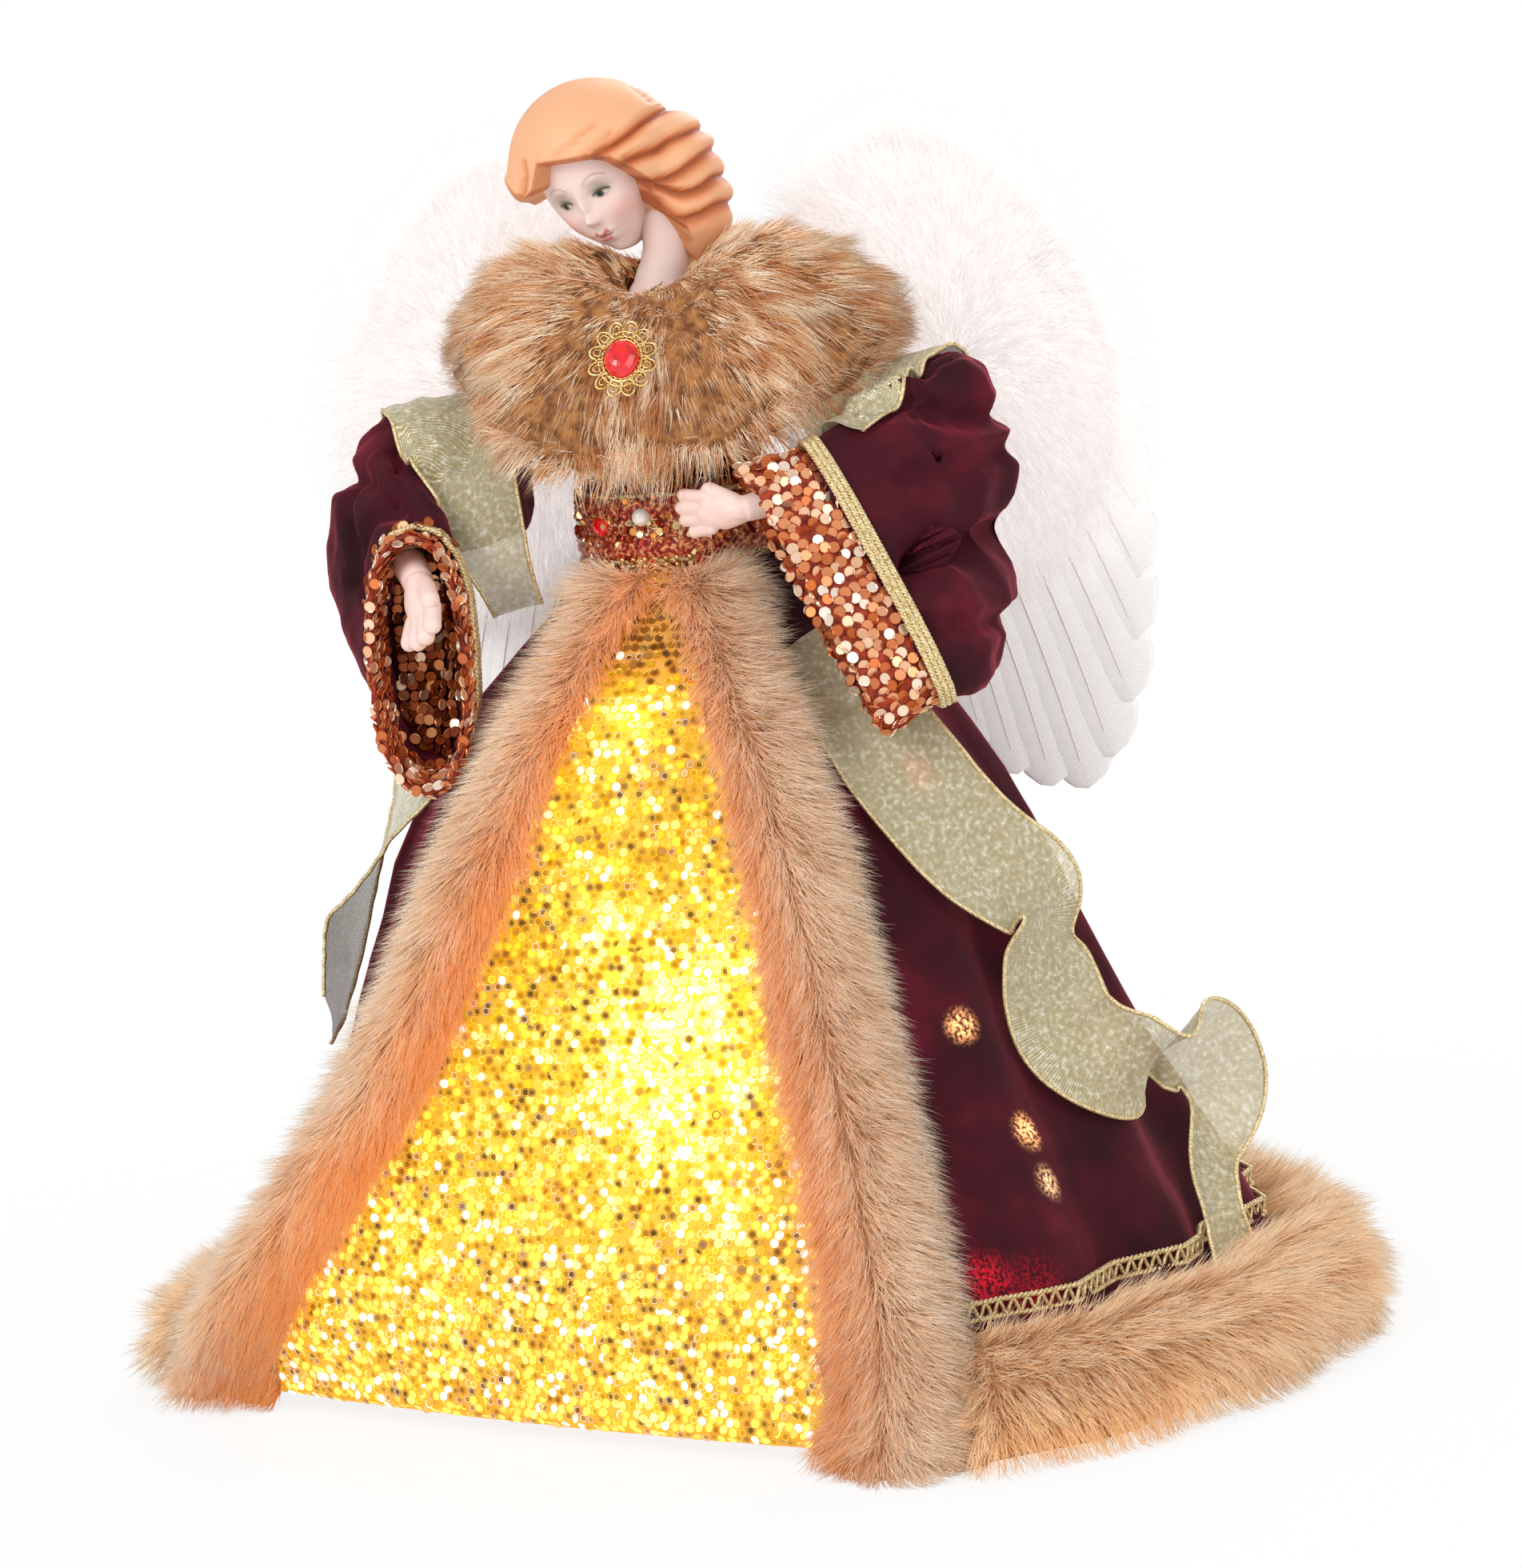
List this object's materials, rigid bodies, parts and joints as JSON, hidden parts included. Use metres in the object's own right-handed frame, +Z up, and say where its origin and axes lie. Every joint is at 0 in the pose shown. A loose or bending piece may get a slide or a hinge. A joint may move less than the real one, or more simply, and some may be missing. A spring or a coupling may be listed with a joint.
{
  "type": "angel tree topper",
  "caption": "Angel tree topper with porcelain head and hands, fur-trimmed burgundy velvet robe over a lit gold sequin panel, sequined bell cuffs and white feather wings",
  "frame": {"origin": "under the cone's axis, on the surface that the robe's hem stands on", "axes": "+Z up through the tree tip; the figure faces -Y; +X is its left side"},
  "size_m": [0.3134, 0.2688, 0.3257],
  "materials": {
    "card": "matt pressed board",
    "lamp_holder": "moulded green plastic",
    "bulb": "clear glass with a warm filament",
    "velvet": "burgundy pile velvet, sheen on the folds",
    "sequin": "small gold sequins on net, lit from behind",
    "fur": "tan imitation fur with dark tips",
    "gold_braid": "metallic gold cord braid",
    "gilt_metal": "cast filigree, polished",
    "cloth": "plain woven cotton",
    "belt_braid": "dark red and copper braid",
    "stone": "faceted red cabochon",
    "pearl": "pearl coating",
    "porcelain": "unglazed bisque, painted",
    "copper_sequin": "rose-gold cup sequins",
    "organza": "sheer gold organza, wired edges",
    "wire": "bare steel wire",
    "feather": "white feathers and down"
  },
  "bodies": {
    "figure": {"tree_cone": "card", "lamp_holder_01": "lamp_holder", "lamp_holder_02": "lamp_holder", "lamp_holder_03": "lamp_holder", "lamp_holder_04": "lamp_holder", "lamp_holder_05": "lamp_holder", "lamp_holder_06": "lamp_holder", "lamp_holder_07": "lamp_holder", "lamp_holder_08": "lamp_holder", "lamp_holder_09": "lamp_holder", "lamp_holder_10": "lamp_holder", "lamp_01": "bulb", "lamp_02": "bulb", "lamp_03": "bulb", "lamp_04": "bulb", "lamp_05": "bulb", "lamp_06": "bulb", "lamp_07": "bulb", "lamp_08": "bulb", "lamp_09": "bulb", "lamp_10": "bulb", "lamp_wire": "lamp_holder", "robe": "velvet", "sequin_panel": "sequin", "front_fur_left": "fur", "front_fur_right": "fur", "hem_fur": "fur", "hem_braid": "gold_braid", "body": "cloth", "belt": "belt_braid", "belt_stone": "stone", "belt_pearl": "pearl", "porcelain_head": "porcelain", "fur_cape": "fur", "brooch_setting": "gilt_metal", "brooch_stone": "stone", "ribbon_fall_left": "organza", "ribbon_fall_right": "organza", "wing_staple_left": "wire", "wing_staple_right": "wire"},
    "arm_left": {"arm_left": "cloth", "hand_left": "porcelain", "sleeve_left": "velvet", "cuff_left": "copper_sequin", "cuff_braid_left": "gold_braid", "ribbon_band_left": "organza"},
    "arm_right": {"arm_right": "cloth", "hand_right": "porcelain", "sleeve_right": "velvet", "cuff_right": "copper_sequin", "cuff_braid_right": "gold_braid", "ribbon_band_right": "organza"},
    "wing_left": {"wing_spar_left": "wire", "wing_card_left": "card", "wing_flights_left": "feather", "wing_down_left": "feather"},
    "wing_right": {"wing_spar_right": "wire", "wing_card_right": "card", "wing_flights_right": "feather", "wing_down_right": "feather"}
  },
  "joints": [
    {"name": "shoulder_left", "type": "hinge", "parent": "figure", "child": "arm_left", "pos_m": [0.033, 0, 0.248], "axis": [0, 0, 1], "range_deg": [0, 20]},
    {"name": "shoulder_right", "type": "hinge", "parent": "figure", "child": "arm_right", "pos_m": [-0.033, 0, 0.248], "axis": [0, 0, -1], "range_deg": [0, 20]},
    {"name": "wing_hinge_left", "type": "hinge", "parent": "figure", "child": "wing_left", "pos_m": [0.009, 0.04, 0.236], "axis": [0, 0, 1], "range_deg": [0, 30]},
    {"name": "wing_hinge_right", "type": "hinge", "parent": "figure", "child": "wing_right", "pos_m": [-0.009, 0.04, 0.236], "axis": [0, 0, -1], "range_deg": [0, 30]}
  ]
}
